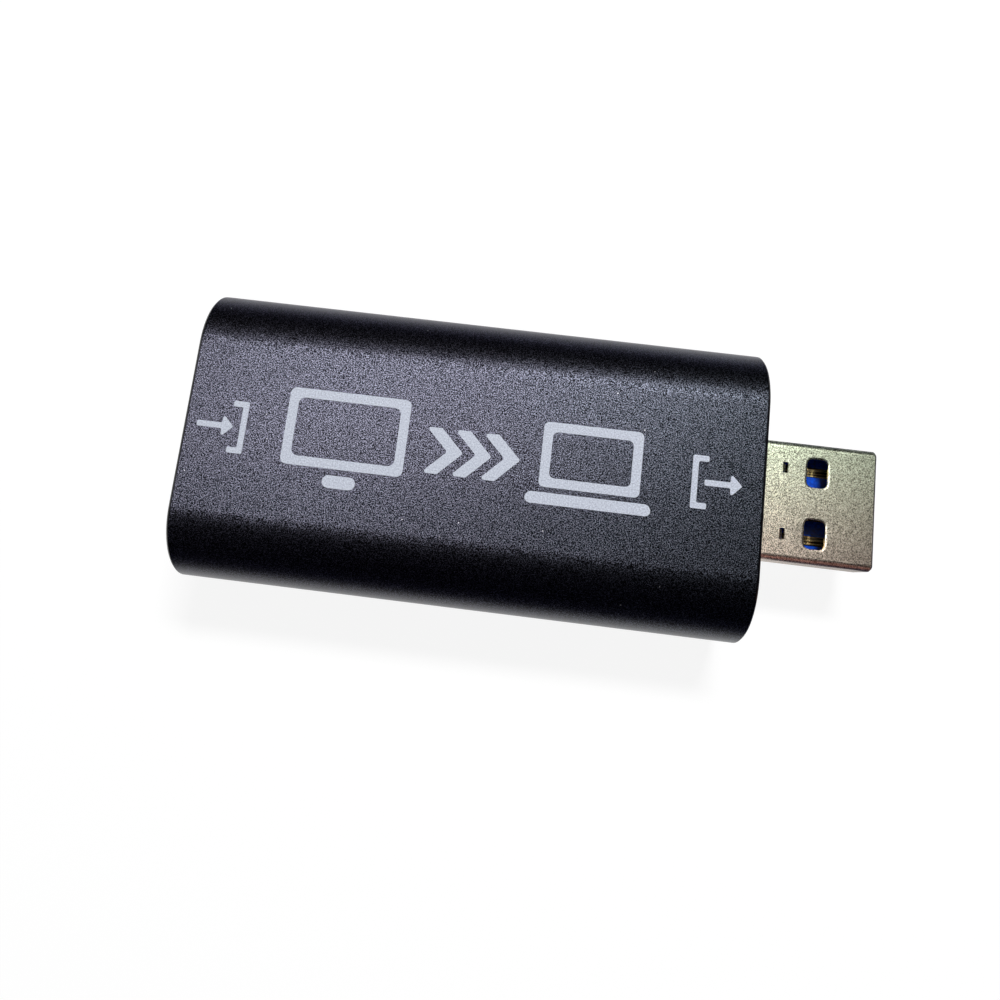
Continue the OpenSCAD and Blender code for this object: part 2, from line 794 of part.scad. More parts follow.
// The butt seam along the shell's underside, broken by one dovetail
module plug_seam() {
    neck = dovetail_neck / 2;
    end = dovetail_end / 2;
    translate([plug_block_x, 0, board_top - over])
        linear_extrude(height = over + plug_wall + insulator_clear) {
            translate([neck - seam_w, -seam_w / 2])
                square([plug_depth + over, seam_w]);
            translate([-plug_l, -seam_w / 2])
                square([plug_l - neck + seam_w, seam_w]);
            for (side = [0, 1])
                mirror([side, 0])
                    polygon([
                        [neck, -seam_w / 2], [end, dovetail_l], [end - seam_w, dovetail_l],
                        [neck - seam_w, -seam_w / 2]
                    ]);
            translate([-end, dovetail_l - seam_w])
                square([dovetail_end, seam_w]);
        }
}

// Blue moulded tongue and rear block that hold the plug's contacts
module plug_insulator() {
    z0 = plug_floor_z + insulator_clear;
    z1 = plug_ceiling_z - insulator_clear;
    bevel = plug_tongue_bevel;
    color("#1c4fc4")
        difference() {
            intersection() {
                across_y(0, plug_w)
                    polygon([
                        [plug_back_x, z0], [plug_tongue_x, z0], [plug_tongue_x, plug_tongue_z - bevel],
                        [plug_tongue_x - bevel, plug_tongue_z], [plug_block_x, plug_tongue_z],
                        [plug_block_x, z1], [plug_back_x, z1]
                    ]);
                translate([0, 0, plug_z])
                    along_x(plug_back_x, tip_x)
                        plug_inside(insulator_clear);
            }
            for (side = [-1, 1]) {
                lock_notch(side);
                main_strip(side * power_contact_y, power_setback, plug_back_x - over);
                main_strip(side * data_contact_y, data_setback, plug_back_x - over);
            }
            for (i = [0:fast_count - 1])
                fast_contact(in_row(i, fast_count, fast_pitch));
        }
}

// A flat contact that lies in the tongue, from x_back to its setback from the front
module main_strip(y, setback, x_back) {
    translate([x_back, y - main_contact_w / 2, main_strip_z])
        cube([plug_tongue_x - setback - x_back, main_contact_w, contact_t]);
}

module main_contact(y, setback) {
    main_strip(y, setback, plug_back_x);
    across_y(y, main_tail_w)
        polygon(contact_side(plug_back_x, main_drop_x, main_drop_x - foot_l, main_strip_z, board_top));
}

// Four flat contacts in the tongue: two for power at the sides, two shorter for data
module plug_main_contacts() {
    color("#d9b45b")
        for (side = [-1, 1]) {
            main_contact(side * power_contact_y, power_setback);
            main_contact(side * data_contact_y, data_setback);
        }
}

// A high-speed contact: foot, drop, level run through the block and sprung free end
module fast_contact(y) {
    t = contact_t;
    z = plug_tongue_z + fast_rise;
    x_foot = fast_drop_x - foot_l;
    x_bend = plug_block_x + fast_bend;
    x_end = tip_x - fast_setback;
    across_y(y, fast_contact_w)
        polygon([
            [x_foot, board_top], [x_foot, board_top + t], [fast_drop_x, board_top + t],
            [fast_drop_x, z + t], [plug_block_x, z + t], [x_bend, z + t + fast_bump],
            [x_end, z + t - fast_bump], [x_end, z - fast_bump], [x_bend, z + fast_bump],
            [plug_block_x, z], [fast_drop_x + t, z], [fast_drop_x + t, board_top]
        ]);
}

module plug_fast_contacts() {
    color("#d9b45b")
        for (i = [0:fast_count - 1])
            fast_contact(in_row(i, fast_count, fast_pitch));
}

// A moulded package of length l in X, standing lift above the board, with its first
// lead marked by a shallow round dimple
module package(l, w, h, lift) {
    z0 = board_top + lift;
    z1 = z0 + h;
    mark_in = package_bevel + 2 * mark_r;
    difference() {
        intersection() {
            across_y(0, w)
                package_side(l, z0, z1);
            along_x(-l / 2, l / 2)
                package_side(w, z0, z1);
        }
        translate([mark_in - l / 2, w / 2 - mark_in, z1 - mark_depth])
            cylinder(r = mark_r, h = over);
    }
}

// A package's side view, with its upper edges bevelled
module package_side(l, z0, z1) {
    half = l / 2;
    top = half - package_bevel;
    polygon([
        [-half, z0], [half, z0], [half, z1 - package_bevel], [top, z1],
        [-top, z1], [-half, z1 - package_bevel]
    ]);
}

module capture_chip() {
    color("#202124")
        translate([chip_x, 0, 0])
            package(chip_w, chip_w, chip_t, solder_t);
}

// Solder pads round the chip's four sides and the square heat pad in the middle
module capture_chip_pads() {
    pad_x = chip_w / 2 + chip_pad_out - chip_pad_l;
    color("#c8c8c4")
        translate([chip_x, 0, board_top]) {
            for (turn = [0:3], i = [0:chip_pads - 1])
                rotate([0, 0, 90 * turn])
                    translate([pad_x, in_row(i, chip_pads, chip_pitch) - chip_pad_w / 2, 0])
                        cube([chip_pad_l, chip_pad_w, solder_t]);
            translate([-heat_pad_w / 2, -heat_pad_w / 2, 0])
                cube([heat_pad_w, heat_pad_w, solder_t]);
        }
}

// A gull-wing lead of width w that leaves a package at x, y = 0 and height rise
module gull_lead(l, w, rise) {
    knee = l / 2;
    across_y(0, w)
        translate([0, board_top])
            polygon([
                [0, rise], [0, rise + lead_t], [knee, rise + lead_t], [knee + lead_t, lead_t],
                [l, lead_t], [l, 0], [knee, 0], [knee - lead_t, rise]
            ]);
}

module memory_chip() {
    color("#202124")
        translate(memory_at)
            package(memory_w, memory_l, memory_h, package_lift);
}

module memory_chip_leads() {
    color("#c8c8c4")
        translate(memory_at)
            for (side = [0, 1], i = [0:memory_leads - 1])
                mirror([side, 0, 0])
                    translate([memory_w / 2, in_row(i, memory_leads, memory_pitch), 0])
                        gull_lead(memory_lead_l, memory_lead_w, memory_h / 2);
}

module crystal_base() {
    color("#4a4640")
        translate(crystal_at)
            translate([0, 0, board_top])
                linear_extrude(height = crystal_base_h)
                    slab(crystal_l, crystal_w, crystal_rim);
}

module crystal_lid() {
    color("#cfcdc6")
        translate(crystal_at)
            translate([0, 0, board_top + crystal_base_h])
                linear_extrude(height = crystal_lid_h)
                    slab(crystal_l - 2 * crystal_rim, crystal_w - 2 * crystal_rim, crystal_rim);
}

module regulator_body() {
    color("#202124")
        translate(regulator_at)
            package(regulator_w, regulator_l, regulator_h, package_lift);
}

// Three leads on one side and the wide heat tab on the other
module regulator_leads() {
    color("#c8c8c4")
        translate(regulator_at) {
            for (i = [-1:1])
                translate([regulator_w / 2, i * regulator_pitch, 0])
                    gull_lead(regulator_lead_l, regulator_lead_w, regulator_h / 2);
            mirror([1, 0, 0])
                translate([regulator_w / 2, 0, 0])
                    gull_lead(regulator_lead_l, regulator_tab_w, regulator_h / 2);
        }
}

module core_regulator_body() {
    color("#202124")
        translate(core_at)
            package(core_l, core_w, core_h, package_lift);
}

// Three leads on one side and two on the other
module core_regulator_leads() {
    color("#c8c8c4")
        translate(core_at)
            for (side = [0, 1], i = [-1:1])
                if (side == 1 || i != 0)
                    rotate([0, 0, 90 + 180 * side])
                        translate([core_w / 2, i * core_pitch, 0])
                            gull_lead(core_lead_l, core_lead_w, core_h / 2);
}

// Surge protection arrays in a row behind the socket's contact feet
module surge_arrays() {
    color("#26272b")
        for (i = [0:surge_count - 1])
            translate([surge_x, in_row(i, surge_count, surge_l + part_gap), 0])
                package(surge_w, surge_l, surge_h, 0);
}

// The places of the chip capacitors: a row along each side of the capture chip
module at_capacitors() {
    for (side = [-1, 1], i = [0:capacitor_count - 1])
        translate([chip_x + in_row(i, capacitor_count, passive_w + part_gap), side * capacitor_y, board_top])
            rotate([0, 0, 90])
                children();
}

// The places of the resistors: a column before and one behind the capture chip
module at_resistors() {
    for (side = [-1, 1], i = [0:resistor_count - 1])
        translate([chip_x + side * resistor_x, in_row(i, resistor_count, passive_l + part_gap), board_top])
            rotate([0, 0, 90])
                children();
}

// The middle of a chip component of height h, between its two end terminals
module passive_middle(h) {
    l = passive_l - 2 * terminal_l;
    translate([-l / 2, -passive_w / 2, 0])
        cube([l, passive_w, h]);
}

module passive_ends(h) {
    for (side = [0, 1])
        mirror([side, 0, 0])
            translate([passive_l / 2 - terminal_l, -passive_w / 2, 0])
                cube([terminal_l, passive_w, h]);
}

module capacitors() {
    color("#a58a63")
        at_capacitors()
            passive_middle(capacitor_h);
}

module resistors() {
    color("#1b1b1d")
        at_resistors()
            passive_middle(resistor_h);
}

module passive_terminals() {
    color("#cfcfca") {
        at_capacitors()
            passive_ends(capacitor_h);
        at_resistors()
            passive_ends(resistor_h);
    }
}

case_sleeve();
input_end_plate();
output_end_plate();
circuit_board();
socket_shell();
socket_insulator();
socket_upper_contacts();
socket_lower_contacts();
plug_shell();
plug_insulator();
plug_main_contacts();
plug_fast_contacts();
capture_chip();
capture_chip_pads();
memory_chip();
memory_chip_leads();
crystal_base();
crystal_lid();
regulator_body();
regulator_leads();
core_regulator_body();
core_regulator_leads();
surge_arrays();
capacitors();
resistors();
passive_terminals();
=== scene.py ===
import math
import bmesh
import bpy
from mathutils import Euler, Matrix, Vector


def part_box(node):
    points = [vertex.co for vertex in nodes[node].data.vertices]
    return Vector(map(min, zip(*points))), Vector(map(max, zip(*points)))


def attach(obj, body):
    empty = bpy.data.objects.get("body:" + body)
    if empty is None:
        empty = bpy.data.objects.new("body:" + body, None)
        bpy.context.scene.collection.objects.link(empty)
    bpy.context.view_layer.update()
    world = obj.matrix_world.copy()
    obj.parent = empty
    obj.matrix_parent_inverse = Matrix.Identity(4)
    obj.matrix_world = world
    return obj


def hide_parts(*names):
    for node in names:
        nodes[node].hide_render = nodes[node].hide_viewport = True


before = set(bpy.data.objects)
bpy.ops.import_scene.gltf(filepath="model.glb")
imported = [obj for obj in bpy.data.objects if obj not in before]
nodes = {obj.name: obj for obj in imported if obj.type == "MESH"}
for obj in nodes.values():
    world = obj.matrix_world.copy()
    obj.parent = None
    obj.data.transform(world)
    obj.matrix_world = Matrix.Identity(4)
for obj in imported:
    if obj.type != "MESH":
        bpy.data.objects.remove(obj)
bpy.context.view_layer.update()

# Circuit board: glass-fibre laminate, routed to size and coated with green solder mask.
# It slides into the sleeve's rails and carries both connectors and the electronics.
# Sizes are in metres, but those of patterns, edges and print are in millimetres.
MM = 0.001
CLOTH_PITCH = 0.5
CLOTH_RELIEF = 0.004
WAVE_LENGTH = math.pi / 10  # length of one wave of the wave texture at a scale of 1


def linear(code):
    """Linear RGBA of an sRGB hex colour."""
    channels = [int(code[i:i + 2], 16) / 255 for i in (1, 3, 5)]
    return [c / 12.92 if c <= 0.04045 else ((c + 0.055) / 1.055) ** 2.4 for c in channels] + [1]


def per_metre(size_mm):
    """The texture scale at which one feature of a pattern is this large."""
    return 1 / (size_mm * MM)


def feed(node, inputs):
    """Gives each input, by name or number, its value or the socket that feeds it."""
    sockets = [socket for socket in node.inputs if socket.enabled]
    names = [socket.name for socket in sockets]
    for key, value in inputs.items():
        socket = sockets[key if isinstance(key, int) else names.index(key)]
        if isinstance(value, bpy.types.NodeSocket):
            node.id_data.links.new(value, socket)
        else:
            socket.default_value = value


def add(tree, kind, inputs=None, out=None, **settings):
    """Adds a node with its settings and links, and returns its first or its named output."""
    node = tree.nodes.new(kind)
    for name, value in settings.items():
        setattr(node, name, value)
    feed(node, inputs or {})
    sockets = [socket for socket in node.outputs if socket.enabled and out in (None, socket.name)]
    return sockets[0] if sockets else None


def new_finish(name, values):
    """A new material with these shader values, with its tree, shader and Object coordinates."""
    material = bpy.data.materials.new(name)
    material.use_nodes = True
    tree = material.node_tree
    shader = tree.nodes["Principled BSDF"]
    feed(shader, values)
    return material, tree, shader, add(tree, "ShaderNodeTexCoord", out="Object")


def dress(material, *names):
    """Gives CAD pieces their finish."""
    for name in names:
        nodes[name].data.materials.clear()
        nodes[name].data.materials.append(material)


# Solder mask is a clear green lacquer, so the laminate's cloth shows through as a faint weave.
mask, tree, shader, place = new_finish("solder_mask_on_glass_fibre", {"Roughness": 0.35, "Coat Weight": 0.2})
cloth = {"Vector": place, "Scale": WAVE_LENGTH * per_metre(CLOTH_PITCH)}
warp = add(tree, "ShaderNodeTexWave", cloth, bands_direction="X")
weft = add(tree, "ShaderNodeTexWave", cloth, bands_direction="Y")
weave = add(tree, "ShaderNodeMath", {0: warp, 1: weft}, operation="MULTIPLY")
green = {"Factor": weave, "A": linear("#1f5a3a"), "B": linear("#2c6b46")}
feed(shader, {
    "Base Color": add(tree, "ShaderNodeMix", green, data_type="RGBA"),
    "Normal": add(tree, "ShaderNodeBump", {"Height": weave, "Distance": CLOTH_RELIEF * MM}),
})
dress(mask, "circuit_board")

# Chip packages: the capture chip, the memory, both regulators and the surge arrays.
# Black epoxy moulded round the silicon under heat, and soldered to the board.
GLOSS_SPREAD = 0.15


def grain(tree, shader, pattern, dark, light, relief_mm, roughness, low=0.3, high=0.7):
    """Lets a pattern vary a shader's gloss and relief, and returns the colour that it makes."""
    shade = add(tree, "ShaderNodeMapRange", {"Value": pattern, "From Min": low, "From Max": high})
    gloss = {
        "Value": shade, "To Min": roughness * (1 - GLOSS_SPREAD), "To Max": roughness * (1 + GLOSS_SPREAD),
    }
    feed(shader, {
        "Roughness": add(tree, "ShaderNodeMapRange", gloss),
        "Normal": add(tree, "ShaderNodeBump", {"Height": pattern, "Distance": relief_mm * MM}),
    })
    return add(tree, "ShaderNodeMix", {"Factor": shade, "A": dark, "B": light}, data_type="RGBA")


def grained(name, dark, light, grain_mm, relief_mm, roughness, values=None):
    """A material with a fine grain between two colours."""
    material, tree, shader, place = new_finish(name, values or {})
    spots = {"Vector": place, "Scale": per_metre(grain_mm), "Detail": 1}
    pattern = add(tree, "ShaderNodeTexNoise", spots)
    colour = grain(tree, shader, pattern, linear(dark), linear(light), relief_mm, roughness)
    feed(shader, {"Base Color": colour})
    return material


# Filled epoxy is dull and slightly grey, with a matt grain from the spark-eroded mould, which is drawn
# a few times as coarse as real, so that it shows.
epoxy = grained(
    "moulded_filled_epoxy", "#1b1c1f", "#2a2b2f", grain_mm=0.15, relief_mm=0.006, roughness=0.6,
)
dress(epoxy, "capture_chip", "memory_chip", "regulator_body", "core_regulator_body", "surge_arrays")

# Leads and solder joints: copper alloy leads, the chip's pads and the ends of the chip
# components. They are plated with tin and soldered in an oven.
METAL = {"Metallic": 1}
# Tin that has melted and set again has a soft mottled shine.
tin = grained(
    "reflowed_tin", "#b3b3b0", "#d6d6d2", grain_mm=0.3, relief_mm=0.004, roughness=0.32, values=METAL,
)
dress(
    tin, "capture_chip_pads", "memory_chip_leads", "regulator_leads", "core_regulator_leads",
    "passive_terminals",
)

# Clock crystal: a fired ceramic tray with a thin metal lid seam-welded on top.
# It is soldered to the board next to the capture chip, which takes its clock from it.
# The ceramic is dull and brownish, the lid satin from rolling, each with a grain drawn coarser than real.
ceramic = grained(
    "fired_alumina_ceramic", "#433f3a", "#565149", grain_mm=0.12, relief_mm=0.003, roughness=0.7,
)
dress(ceramic, "crystal_base")
lid_alloy = grained(
    "rolled_nickel_iron_sheet", "#bdbbb4", "#dcdad3", grain_mm=0.25, relief_mm=0.002, roughness=0.35,
    values=METAL,
)
dress(lid_alloy, "crystal_lid")

# Chip capacitors and resistors: sintered ceramic blocks and glazed resistor bodies,
# placed by machine and held by the solder at their ends.
# Sintered ceramic is matt and tan, the glaze smooth and shiny, each with a grain drawn coarser than real.
capacitor_ceramic = grained(
    "sintered_capacitor_ceramic", "#977d58", "#b3976d", grain_mm=0.1, relief_mm=0.003, roughness=0.55,
)
dress(capacitor_ceramic, "capacitors")
glaze = grained(
    "glazed_resistor_body", "#151517", "#242427", grain_mm=0.2, relief_mm=0.002, roughness=0.25,
    values={"Coat Weight": 0.5},
)
dress(glaze, "resistors")

# Video socket, insulator: black glass-filled nylon, moulded with its tongue and block.
# The block is pressed into the shell from behind.
WELD = 0.001 * MM
FLAT_ANGLE = math.radians(0.5)
EDGE_ANGLE = math.radians(40)
EDGE_SEGMENTS = 3
LARGE_FACE_WEIGHT = 100


def rounded_copy(node, material, edge_mm):
    """A copy of a CAD piece with its sharp edges rounded, which stands for that piece."""
    build = bmesh.new()
    build.from_mesh(nodes[node].data)
    bmesh.ops.remove_doubles(build, verts=build.verts, dist=WELD)
    bmesh.ops.dissolve_limit(build, angle_limit=FLAT_ANGLE, verts=build.verts, edges=build.edges)
    for face in build.faces:
        face.smooth = True
        face.material_index = 0
    mesh = bpy.data.meshes.new(node + "_rounded")
    build.to_mesh(mesh)
    build.free()
    mesh.materials.append(material)
    piece = bpy.data.objects.new(node + "_rounded", mesh)
    bpy.context.scene.collection.objects.link(piece)
    edges = piece.modifiers.new("rounded edges", "BEVEL")
    edges.width = edge_mm * MM
    edges.segments = EDGE_SEGMENTS
    edges.limit_method = "ANGLE"
    edges.angle_limit = EDGE_ANGLE
    flats = piece.modifiers.new("even flats", "WEIGHTED_NORMAL")
    flats.weight = LARGE_FACE_WEIGHT
    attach(piece, "root")
    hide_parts(node)


# Filled nylon is near black, with the faint swirl of its fibres and a low sheen.
nylon = grained(
    "moulded_glass_filled_nylon", "#121214", "#1c1c1f", grain_mm=0.35, relief_mm=0.004, roughness=0.5,
)
rounded_copy("socket_insulator", nylon, edge_mm=0.06)

# Video socket, contacts: two rows of phosphor bronze strips, stamped, plated with gold
# and pushed into the insulator's channels. Their feet are soldered to the board.
ROLLED_LINE = 0.17
ROLLED_STRETCH = 20
# Thin gold over rolled strip keeps the rolling lines along its length, as bright and brown streaks.
# They are drawn several times as wide as real, so that they show.
gold, tree, shader, place = new_finish("gold_plated_rolled_bronze", METAL)
rolled = add(tree, "ShaderNodeMapping", {"Vector": place, "Scale": (1 / ROLLED_STRETCH, 1, 1)})
rolling = {"Vector": rolled, "Scale": per_metre(ROLLED_LINE), "Detail": 1}
streaks = add(tree, "ShaderNodeTexNoise", rolling)
streaked_gold = grain(
    tree, shader, streaks, linear("#50371f"), linear("#ffe3a6"), relief_mm=0.016, roughness=0.17,
    low=0.4, high=0.6,
)
feed(shader, {"Base Color": streaked_gold})
rounded_copy("socket_upper_contacts", gold, edge_mm=0.03)
rounded_copy("socket_lower_contacts", gold, edge_mm=0.03)

# Video socket, shell: thin steel, stamped, folded and plated with nickel.
# Its four legs go through the board, and its fingers press on what is plugged in.
# Nickel plated in bulk is a warm grey with a cloudy satin shine.
nickel = grained(
    "satin_nickel_plated_steel", "#a9a69a", "#d2d0c4", grain_mm=0.22, relief_mm=0.003, roughness=0.34,
    values=METAL,
)
rounded_copy("socket_shell", nickel, edge_mm=0.05)

# Plug, insulator: blue polyester moulding with the tongue and the rear block in one.
# It carries the contacts and is pressed into the shell from behind.
# Dyed through, it is an even strong blue, with hardly any shine from its dull mould.
polyester = grained(
    "moulded_blue_polyester", "#083cae", "#0f56da", grain_mm=0.3, relief_mm=0.003, roughness=0.75,
    values={"Specular IOR Level": 0.15},
)
rounded_copy("plug_insulator", polyester, edge_mm=0.06)

# Plug, contacts: four flat gold-plated strips in the tongue, and five sprung strips
# behind the windows for the fast signals. All end in feet on the board.
rounded_copy("plug_main_contacts", gold, edge_mm=0.1)
rounded_copy("plug_fast_contacts", gold, edge_mm=0.03)

# Plug, shell: a strip of steel folded into a box with a dovetailed seam underneath.
# The latch windows and lock slots are punched from outside, so their rims are rounded.
PLUG_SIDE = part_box("plug_shell")[1].y
PLUG_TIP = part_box("plug_shell")[1].x
PLATE_FACET = 0.055
TIP_SHADE_LENGTH = 10 * MM
# Barrel-plated nickel is satin, with crystal facets that sparkle, drawn about twice as coarse as real.
# The plate drifts from a pinkish grey on the near side to a greenish grey on the far side, and towards the
# tip it is painted darker, as painted shade.
plate, tree, shader, place = new_finish("barrel_plated_satin_nickel", METAL)
across = add(tree, "ShaderNodeSeparateXYZ", {"Vector": place}, out="Y")
drift = add(tree, "ShaderNodeMapRange", {"Value": across, "From Min": -PLUG_SIDE, "From Max": PLUG_SIDE})
along = add(tree, "ShaderNodeSeparateXYZ", {"Vector": place}, out="X")
# Painted shade: the plate darkens over the last stretch before the tip.
tip_shade = add(tree, "ShaderNodeMapRange", {
    "Value": along, "From Min": PLUG_TIP - TIP_SHADE_LENGTH, "From Max": PLUG_TIP,
})
dim = {"Factor": drift, "A": linear("#584f47"), "B": linear("#545646")}
dark = add(tree, "ShaderNodeMix", dim, data_type="RGBA")
bright = {"Factor": drift, "A": linear("#f4e1cf"), "B": linear("#ebf7da")}
fresh = add(tree, "ShaderNodeMix", bright, data_type="RGBA")
# Painted shade: the bright colour is multiplied darker towards the tip.
tip_shading = {"Factor": tip_shade, "A": fresh, "B": linear("#cfcfcf")}
light = add(tree, "ShaderNodeMix", tip_shading, data_type="RGBA", blend_type="MULTIPLY")
crystals = {"Vector": place, "Scale": per_metre(PLATE_FACET)}
facets = add(tree, "ShaderNodeTexVoronoi", crystals, out="Color")
feed(shader, {"Base Color": grain(tree, shader, facets, dark, light, relief_mm=0.004, roughness=0.37)})
rounded_copy("plug_shell", plate, edge_mm=0.08)

# Sleeve: aluminium tube, extruded with the board's rails inside, sawn to length, its ends
# bevelled, then bead-blasted and anodised black. The board slides in from one end.
SLEEVE_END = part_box("case_sleeve")[1].x
BEVEL = 0.25 * MM
BEVEL_FADE_START = SLEEVE_END - 1.4 * BEVEL
BEVEL_FADE_END = SLEEVE_END - 1.1 * BEVEL
BLAST_GRAIN = 0.095
DUST_SPACING = 1.8
DUST_SIZE = 0.1
# Blasted and anodised metal is a dark satin grey where it mirrors a lamp and near black
# elsewhere. It sparkles with a grain drawn about twice as coarse as real, so that it shows.
anodised, tree, shader, place = new_finish("bead_blasted_black_anodised_aluminium", {})
along = add(tree, "ShaderNodeSeparateXYZ", {"Vector": place}, out="X")
drift = add(tree, "ShaderNodeMapRange", {"Value": along, "From Min": 0, "From Max": SLEEVE_END})
hollows = {"Factor": drift, "A": linear("#08080b"), "B": linear("#08090b")}
dark = add(tree, "ShaderNodeMix", hollows, data_type="RGBA")
crests = {"Factor": drift, "A": linear("#666674"), "B": linear("#686d79")}
light = add(tree, "ShaderNodeMix", crests, data_type="RGBA")
blasting = {"Vector": place, "Scale": per_metre(BLAST_GRAIN), "Detail": 1}
pits = add(tree, "ShaderNodeTexNoise", blasting)
blasted = grain(tree, shader, pits, dark, light, relief_mm=0.012, roughness=0.34, low=0.46, high=0.7)
# Painted shade: the bevelled rims are painted near black and of one even colour, as a dark line round each
# end.
from_middle = add(tree, "ShaderNodeMath", {0: along}, operation="ABSOLUTE")
# Painted shade: a mask of the bevelled rims at both ends.
rim_shade = add(tree, "ShaderNodeMapRange", {
    "Value": from_middle, "From Min": BEVEL_FADE_START, "From Max": BEVEL_FADE_END,
})
bevelled = {"Factor": rim_shade, "A": blasted, "B": linear("#0c0c0e")}
rim_shaded = add(tree, "ShaderNodeMix", bevelled, data_type="RGBA")
# A few specks of pale dust lie on it, as dull dots.
motes = {"Vector": place, "Scale": per_metre(DUST_SPACING)}
distance = add(tree, "ShaderNodeTexVoronoi", motes, out="Distance")
dust = add(tree, "ShaderNodeMath", {0: distance, 1: DUST_SIZE / DUST_SPACING / 2}, operation="LESS_THAN")
specks = {"Factor": dust, "A": rim_shaded, "B": linear("#b9b9bd")}
feed(shader, {
    "Base Color": add(tree, "ShaderNodeMix", specks, data_type="RGBA"),
    "Metallic": add(tree, "ShaderNodeMath", {0: 1.0, 1: dust}, operation="SUBTRACT"),
})
rounded_copy("case_sleeve", anodised, edge_mm=0.06)

# End plates: black plastic, moulded round openings for the connectors. Their tabs press
# into the sleeve and their crush ribs hold them there, so no screw shows.
# The mould's spark texture leaves the plastic matt, with a fine sparkle at low angles.
abs_plastic = grained(
    "spark_textured_black_abs", "#101012", "#2b2b2f", grain_mm=0.16, relief_mm=0.02, roughness=0.55,
)
rounded_copy("input_end_plate", abs_plastic, edge_mm=0.12)
rounded_copy("output_end_plate", abs_plastic, edge_mm=0.12)

# Print: pale ink, pad-printed on the sleeve's top as plain signs. An arrow into a bracket
# marks the input, an arrow out of one the output, and a screen feeds a computer between them.
INK_THICKNESS = 0.02
CORNER_POINTS = 4
# Ink from a soft pad lies flat and dull, and the blasted grain under it just shows, coarser than real.
ink = grained("pad_printed_pale_ink", "#b6bccd", "#e4ebf9", grain_mm=0.14, relief_mm=0.006, roughness=0.6)

stamp = bpy.data.node_groups.new("ink_stamp", "GeometryNodeTree")
sockets = {}
for label, side, kind in (
    ("Outlines", "INPUT", "Geometry"), ("Corner Radius", "INPUT", "Float"), ("Thickness", "INPUT", "Float"),
    ("Height", "INPUT", "Float"), ("Copies", "INPUT", "Int"), ("Pitch", "INPUT", "Float"),
    ("Ink", "INPUT", "Material"), ("Sign", "OUTPUT", "Geometry"),
):
    sockets[label] = stamp.interface.new_socket(label, in_out=side, socket_type="NodeSocket" + kind)
given = stamp.nodes.new("NodeGroupInput").outputs
curves = add(stamp, "GeometryNodeMeshToCurve", {"Mesh": given["Outlines"]})
corners = {
    "Curve": curves, "Count": CORNER_POINTS, "Radius": given["Corner Radius"], "Limit Radius": True,
}
soft = add(stamp, "GeometryNodeFilletCurve", corners, mode="POLY")
under = add(stamp, "GeometryNodeFillCurve", {"Curve": soft})
upper = add(stamp, "GeometryNodeExtrudeMesh", {"Mesh": under, "Offset Scale": given["Thickness"]})
both = add(stamp, "GeometryNodeJoinGeometry", {"Geometry": upper})
lower = add(stamp, "GeometryNodeFlipFaces", {"Mesh": under})
stamp.links.new(lower, both.node.inputs["Geometry"])
closed = add(stamp, "GeometryNodeMergeByDistance", {"Geometry": both, "Distance": WELD})
lift = add(stamp, "ShaderNodeCombineXYZ", {"Z": given["Height"]})
sign = add(stamp, "GeometryNodeTransform", {"Geometry": closed, "Translation": lift})
step = add(stamp, "ShaderNodeCombineXYZ", {"X": given["Pitch"]})
row = add(stamp, "GeometryNodeMeshLine", {"Count": given["Copies"], "Offset": step})
copies = add(stamp, "GeometryNodeInstanceOnPoints", {"Points": row, "Instance": sign})
whole = add(stamp, "GeometryNodeRealizeInstances", {"Geometry": copies})
inked = add(stamp, "GeometryNodeSetMaterial", {"Geometry": whole, "Material": given["Ink"]})
add(stamp, "NodeGroupOutput", {"Sign": inked})


def print_sign(name, outlines, corner_mm, copies=1, pitch_mm=0):
    """Prints closed outlines of points in mm; an outline inside another one is a hole."""
    build = bmesh.new()
    for outline in outlines:
        points = [build.verts.new((x * MM, y * MM, 0)) for x, y in outline]
        for a, b in zip(points, points[1:] + points[:1]):
            build.edges.new((a, b))
    mesh = bpy.data.meshes.new(name)
    build.to_mesh(mesh)
    build.free()
    piece = bpy.data.objects.new(name, mesh)
    bpy.context.scene.collection.objects.link(piece)
    press = piece.modifiers.new("ink stamp", "NODES")
    press.node_group = stamp
    values = {
        "Corner Radius": corner_mm * MM, "Thickness": INK_THICKNESS * MM, "Copies": copies,
        "Pitch": pitch_mm * MM, "Height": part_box("case_sleeve")[1].z, "Ink": ink,
    }
    for label, value in values.items():
        press[sockets[label].identifier] = value
    depsgraph = bpy.context.evaluated_depsgraph_get()
    piece.data = bpy.data.meshes.new_from_object(piece.evaluated_get(depsgraph))
    piece.modifiers.clear()
    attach(piece, "root")


def rectangle(x, y, w, h):
    """The corners of a rectangle round a middle point."""
    return [(x + i * w / 2, y + j * h / 2) for i, j in ((-1, -1), (1, -1), (1, 1), (-1, 1))]


def framed(x, y, w, h, stroke):
    """The outlines of a frame with this stroke round a middle point."""
    return [rectangle(x, y, w, h), rectangle(x, y, w - 2 * stroke, h - 2 * stroke)]


def foot(x, y, top_w, base_w, h):
    """The corners of a foot that widens from its top at y to its base."""
    return [(x - base_w / 2, y - h), (x + base_w / 2, y - h), (x + top_w / 2, y), (x - top_w / 2, y)]


def chevron(x, y, reach, stroke):
    """A chevron that points along +X, from its upper inner corner round to its lower one."""
    return [
        (x, y + reach), (x + stroke, y + reach), (x + stroke + reach, y),
        (x + stroke, y - reach), (x, y - reach), (x + reach, y),
    ]


def bracket(x, lip, reach, stroke):
    """A square bracket whose back is at x and whose lips point along X by lip."""
    inner = x + math.copysign(stroke, lip)
    upper = [(x + lip, reach), (x + lip, reach - stroke), (inner, reach - stroke)]
    return [(x, reach)] + upper + [(px, -py) for px, py in reversed(upper)] + [(x, -reach)]


def arrow(tail_x, tip_x, barb, stroke):
    """A solid arrow along +X, with a head as long as its barbs are wide."""
    neck_x = tip_x - barb
    upper = [(tail_x, stroke / 2), (neck_x, stroke / 2), (neck_x, barb)]
    return upper + [(tip_x, 0)] + [(x, -y) for x, y in reversed(upper)]


